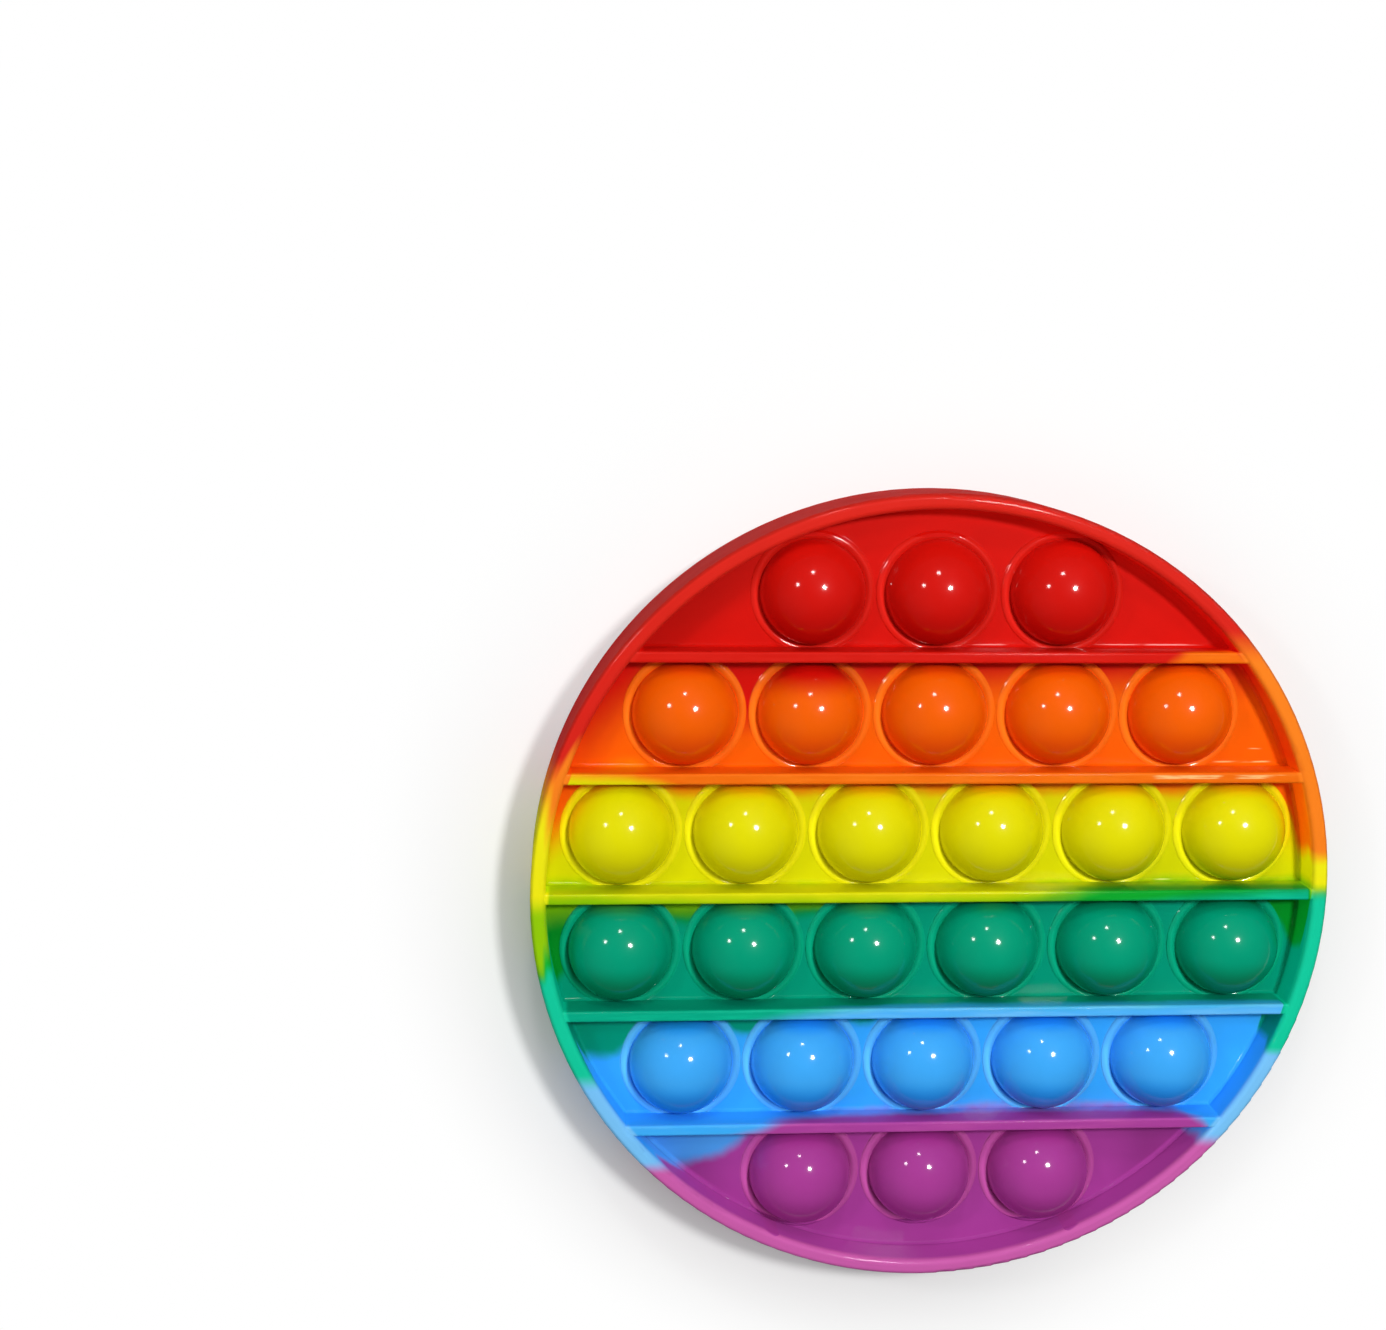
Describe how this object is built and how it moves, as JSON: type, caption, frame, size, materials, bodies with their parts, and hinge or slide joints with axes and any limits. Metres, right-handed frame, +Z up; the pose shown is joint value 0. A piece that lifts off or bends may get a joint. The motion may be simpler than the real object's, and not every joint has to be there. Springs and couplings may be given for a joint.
{
  "type": "bubble pop fidget toy",
  "caption": "Round one-piece silicone fidget toy: a rim, straight ribs and a thin web carrying rows of hollow domes that pop through when pressed.",
  "frame": {"origin": "middle of the underside, on the plane of the rim's lower edge", "axes": "+Z up through the domes; X along the rows; the first row, with three red domes, at +Y"},
  "size_m": [0.125, 0.125, 0.0158],
  "materials": {
    "silicone": "soft gloss"
  },
  "bodies": {
    "root": {"silicone_body": "silicone"}
  },
  "joints": []
}
